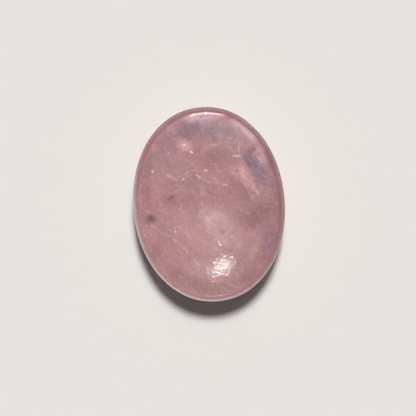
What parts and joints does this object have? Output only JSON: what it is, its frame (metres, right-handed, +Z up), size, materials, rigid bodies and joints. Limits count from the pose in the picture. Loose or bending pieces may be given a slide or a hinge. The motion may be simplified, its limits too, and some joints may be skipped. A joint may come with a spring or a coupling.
{
  "type": "worry stone",
  "caption": "Oval polished rose quartz palm stone with a shallow thumb hollow, a narrow rounded rim and a domed underside that rests on a small flat spot.",
  "frame": {"origin": "middle of the small flat spot on the underside, which the stone rests on", "axes": "+Z up, out of the thumb hollow; +Y along the long axis; +X along the short axis"},
  "size_m": [0.035, 0.045, 0.009],
  "materials": {
    "rose_quartz": "high polish, slightly translucent, with cloudy paler and darker patches inside"
  },
  "bodies": {
    "root": {"worry_stone": "rose_quartz"}
  },
  "joints": []
}
